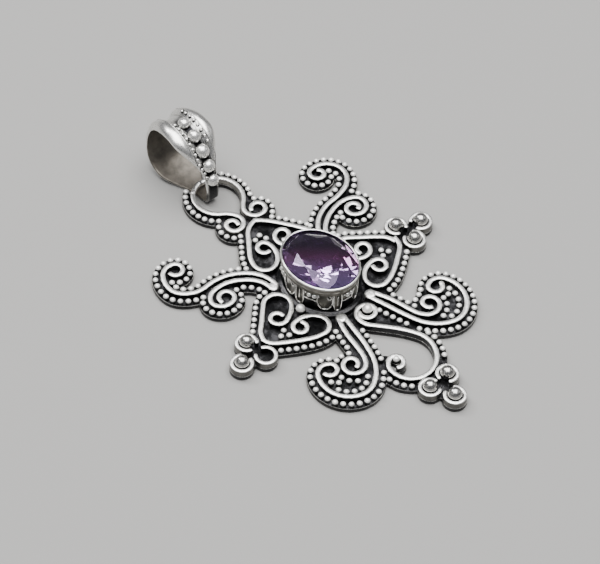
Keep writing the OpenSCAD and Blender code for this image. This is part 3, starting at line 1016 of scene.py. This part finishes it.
def ramp(nodes, links, value, stops):
    """A colour for each value, given as stops of position and colour."""
    node = nodes.new("ShaderNodeValToRGB")
    first, last = node.color_ramp.elements[0], node.color_ramp.elements[1]
    first.position, first.color = stops[0][0], (*stops[0][1], 1)
    last.position, last.color = stops[-1][0], (*stops[-1][1], 1)
    for position, colour in stops[1:-1]:
        node.color_ramp.elements.new(position).color = (*colour, 1)
    links.new(value, node.inputs["Fac"])
    return node.outputs["Color"]


def map_range(nodes, links, value, low, high, to_low, to_high):
    node = nodes.new("ShaderNodeMapRange")
    put(node, From_Min=low, From_Max=high, To_Min=to_low, To_Max=to_high)
    links.new(value, node.inputs["Value"])
    return node.outputs["Result"]


def bump(nodes, links, bsdf, height, strength, depth):
    """Bumps from a height; depth is in millimetres."""
    node = nodes.new("ShaderNodeBump")
    put(node, Strength=strength, Distance=depth * MM)
    links.new(height, node.inputs["Height"])
    links.new(node.outputs["Normal"], bsdf.inputs["Normal"])


SILVER_BRIGHT = (0.94, 0.93, 0.9)
SILVER_SOFT = (0.7, 0.69, 0.66)
# Darker silver for outer walls: partly tarnish, partly painted shade
SILVER_TARNISH_AND_SHADE = (0.36, 0.345, 0.32)
OXIDE = (0.012, 0.012, 0.013)
OXIDE_WORN = (0.06, 0.059, 0.063)
# Noise levels where tarnish ends and clean silver begins, and how dark it is
TARNISH_TO, CLEAN_FROM = 0.35, 0.62
TARNISH_DARK = 0.6
# How open a recess is where it is all dark, and where it is all bare
RECESS_DARK, RECESS_BARE = 0.35, 0.8
# Fine noise: scale, detail and effect on the roughness; depths in millimetres
SCRATCH_SCALE, FINE_DETAIL = 9.0, 5.0
SMOOTHER, ROUGHER = 0.75, 1.3
SCRATCH_DEPTH = 0.02
OXIDE_DEPTH = 0.04
PATCH_DETAIL = 4.0


def mix_colour(nodes, links, factor, low, high):
    """Blends two colours, each a plain colour or the output of a node."""
    node = nodes.new("ShaderNodeMix")
    node.data_type = "RGBA"
    links.new(factor, node.inputs["Factor"])
    for socket, colour in ((node.inputs[6], low), (node.inputs[7], high)):
        if isinstance(colour, tuple):
            socket.default_value = (*colour, 1)
        else:
            links.new(colour, socket)
    return node.outputs[2]


def times(nodes, links, first, second):
    """The product of two values."""
    node = nodes.new("ShaderNodeMath")
    node.operation = "MULTIPLY"
    links.new(first, node.inputs[0])
    links.new(second, node.inputs[1])
    return node.outputs["Value"]


def silver(name, rough, tarnish, colour=SILVER_BRIGHT, scale=1.2, recess=0.0, metallic=1.0, scratches=0.25):
    """Silver with fine scratches and tarnish in patches. The oxide shows where
    it isn't rubbed off, dark painted shade where the vertex attribute sets it, and in recesses up to a
    depth of recess millimetres."""
    material, nodes, links, bsdf = new_material("silver_" + name)
    vector = object_coords(nodes, links)
    patches = noise(nodes, links, vector, scale, PATCH_DETAIL)
    dull = tuple(c * (1 - tarnish * TARNISH_DARK) for c in colour)
    metal = ramp(nodes, links, patches, [(TARNISH_TO, dull), (CLEAN_FROM, colour)])
    rubbed_and_lit_node = nodes.new("ShaderNodeAttribute")
    rubbed_and_lit_node.attribute_name = "rub"
    shown = rubbed_and_lit_node.outputs["Fac"]
    if recess:
        hollow = nodes.new("ShaderNodeAmbientOcclusion")
        hollow.samples = 8
        put(hollow, Distance=recess * MM)
        open_part = map_range(nodes, links, hollow.outputs["AO"], RECESS_DARK, RECESS_BARE, 0.0, 1.0)
        shown = times(nodes, links, shown, open_part)
    links.new(mix_colour(nodes, links, shown, OXIDE, metal), bsdf.inputs["Base Color"])
    put(bsdf, Metallic=metallic)
    fine = noise(nodes, links, vector, SCRATCH_SCALE, FINE_DETAIL)
    roughness = map_range(nodes, links, fine, 0.3, 0.7, rough * SMOOTHER, rough * ROUGHER)
    links.new(roughness, bsdf.inputs["Roughness"])
    bump(nodes, links, bsdf, fine, scratches, SCRATCH_DEPTH)
    return material


def oxidised(name, worn):
    """Dark oxide in the recesses, rubbed to a grey sheen in places."""
    material, nodes, links, bsdf = new_material("silver_" + name)
    vector = object_coords(nodes, links)
    patches = noise(nodes, links, vector, 0.9, PATCH_DETAIL)
    links.new(ramp(nodes, links, patches, [(0.4, OXIDE), (0.68, worn)]), bsdf.inputs["Base Color"])
    put(bsdf, Metallic=0.8)
    links.new(map_range(nodes, links, patches, 0.5, 0.68, 0.16, 0.4), bsdf.inputs["Roughness"])
    grain = noise(nodes, links, vector, 6.0, FINE_DETAIL)
    bump(nodes, links, bsdf, grain, 0.4, OXIDE_DEPTH)
    return material


# Colour of the stone from its near side to its far side, painted light and shade: lit lilac
# near, shaded dark far; the way from one to the other, and how far it reaches from the middle
STONE_LIGHT_AND_SHADE = [(0.0, (0.44, 0.34, 0.78)), (0.3, (0.5, 0.3, 0.66)), (0.48, (0.5, 0.19, 0.42)),
               (0.66, (0.19, 0.14, 0.22)), (1.0, (0.24, 0.18, 0.33))]
LIGHT_AND_SHADE_WAY = (0.73, 0.68)
LIGHT_AND_SHADE_REACH = 4.5


def stone_material(name):
    """Amethyst with painted light and shade in bands across it, shaded dark and greyer on the far side."""
    material, nodes, links, bsdf = new_material(name)
    coords = nodes.new("ShaderNodeTexCoord")
    across = nodes.new("ShaderNodeVectorMath")
    across.operation = "DOT_PRODUCT"
    across.inputs[1].default_value = (LIGHT_AND_SHADE_WAY[0] / MM, LIGHT_AND_SHADE_WAY[1] / MM, 0)
    links.new(coords.outputs["Object"], across.inputs[0])
    light_and_shade = map_range(nodes, links, across.outputs["Value"], -LIGHT_AND_SHADE_REACH, LIGHT_AND_SHADE_REACH, 0.0, 1.0)
    links.new(ramp(nodes, links, light_and_shade, STONE_LIGHT_AND_SHADE), bsdf.inputs["Base Color"])
    put(bsdf, Specular_Tint=(0.62, 0.52, 0.75, 1), Roughness=0.0, IOR=1.55, Transmission_Weight=0.96)
    return material


def make_floor():
    """The plain surface that the pendant lies on."""
    mesh = bpy.data.meshes.new("floor")
    half = 0.6
    corners = [(x * half, y * half, 0) for x, y in ((-1, -1), (1, -1), (1, 1), (-1, 1))]
    mesh.from_pydata(corners, [], [(0, 1, 2, 3)])
    floor = add_object("floor", mesh)
    material, _, _, bsdf = new_material("floor_paper")
    put(bsdf, Base_Color=(0.28, 0.276, 0.268, 1), Roughness=0.85)
    mesh.materials.append(material)


# Camera as the photograph was taken: place in millimetres, which way it looks,
# its turn about its own axis, and its lens for a film 36 mm wide
CAMERA_AT = (-216.67, -196.22, 363.49)
CAMERA_HEADING = 47.329
CAMERA_DOWN = 51.115
CAMERA_ROLL = 2.418
CAMERA_LENS = 238.29


def make_camera():
    data = bpy.data.cameras.new("camera")
    data.sensor_width = 36
    data.lens = CAMERA_LENS
    data.clip_start, data.clip_end = 0.01, 10
    camera = add_object("camera", data)
    camera.location = [c * MM for c in CAMERA_AT]
    turn = Matrix.Rotation(-radians(CAMERA_HEADING), 4, "Z")
    tilt = Matrix.Rotation(radians(90 - CAMERA_DOWN), 4, "X")
    roll = Matrix.Rotation(radians(CAMERA_ROLL), 4, "Z")
    camera.rotation_mode = "QUATERNION"
    camera.rotation_quaternion = (turn @ tilt @ roll).to_quaternion()
    bpy.context.scene.camera = camera


# Square lights that face the pendant: place, side in metres, power in watts
LIGHTS = {
    "overhead": ((0.02, 0.02, 0.6), 0.6, 10.5),
    "key": ((-0.1, 0.45, 0.5), 0.15, 1.8),
    "left": ((-0.5, 0.15, 0.3), 0.25, 0.12),
    "right": ((0.45, -0.25, 0.3), 0.25, 0.2)}


def make_lights():
    """The lights, and a faint even light from all round."""
    for name, (at, side, power) in LIGHTS.items():
        data = bpy.data.lights.new(name, "AREA")
        data.shape = "RECTANGLE"
        data.size, data.size_y = side, side
        data.energy = power
        light = add_object(name, data)
        light.location = at
        light.rotation_mode = "QUATERNION"
        light.rotation_quaternion = (-Vector(at)).to_track_quat("-Z", "Y")
    world = bpy.data.worlds.new("studio")
    world.use_nodes = True
    put(world.node_tree.nodes["Background"], Color=(0.92, 0.94, 1.0, 1), Strength=0.2)
    bpy.context.scene.world = world


top = silver("top", 0.32, 0.3, scratches=0.7)
polished = silver("polished", 0.16, 0.15, recess=0.5)
beads = silver("beads", 0.4, 0.1, metallic=0.6)
bright_balls = silver("bright_balls", 0.26, 0.15, (0.82, 0.81, 0.78), recess=0.25, metallic=0.85,
                      scratches=0.1)
# Balls in the rings: darker silver than the other balls, painted shade of the rings' hollows
balls = silver("balls", 0.24, 0.3, (0.5, 0.49, 0.47), recess=0.35, scratches=0.08)
bail_silver = silver("bail", 0.3, 0.3, (0.86, 0.85, 0.82), recess=0.5)
wall = silver("wall", 0.25, 0.6, SILVER_SOFT)
# Outer walls of the wires: tarnished silver, darkened further as painted shade
dull = silver("dull", 0.3, 0.6, SILVER_TARNISH_AND_SHADE)
gallery_silver = silver("gallery", 0.24, 0.5, SILVER_SOFT, recess=0.6)
# Bezel band: dark brownish silver, a painted reflection of dark surroundings
bezel_band_reflection = silver("bezel_band_reflection", 0.3, 0.5, (0.17, 0.16, 0.14), recess=0.3)
petal_silver = silver("petals", 0.34, 0.5, (0.11, 0.105, 0.092), 2.5, recess=0.25)
# Inside of the bail: darker brownish silver, painted shade in its hollow
inside = silver("inside", 0.42, 0.6, (0.165, 0.148, 0.125), metallic=0.7)
back = silver("back", 0.3, 0.6, SILVER_SOFT, 0.5)
# Outer walls of the rings: tarnished silver, darkened further as painted shade
ring_side_shade = silver("ring_side_shade", 0.28, 0.7, (0.16, 0.155, 0.145))
oxide = oxidised("oxide", OXIDE_WORN)
# Dark oxide on the walls in the hollows; also painted shade on the plate's side, the hook's first walls and
# inside the bezel
oxide_and_shade_wall = oxidised("oxide_and_shade_wall", (0.03, 0.029, 0.03))
amethyst = stone_material("amethyst")

make_plate([oxide, oxide_and_shade_wall, wall, back])
make_wires([top, oxide_and_shade_wall, dull])
make_bow([top])
make_rings([top, oxide_and_shade_wall, ring_side_shade])
make_granules([beads])
make_balls([balls, beads])
make_joins([top])
make_bezel([polished, bezel_band_reflection, petal_silver, oxide_and_shade_wall])
make_gallery([gallery_silver, bright_balls])
make_stone([amethyst])
make_band([bail_silver, inside])
make_spine([bail_silver, bright_balls])
make_floor()
make_camera()
make_lights()
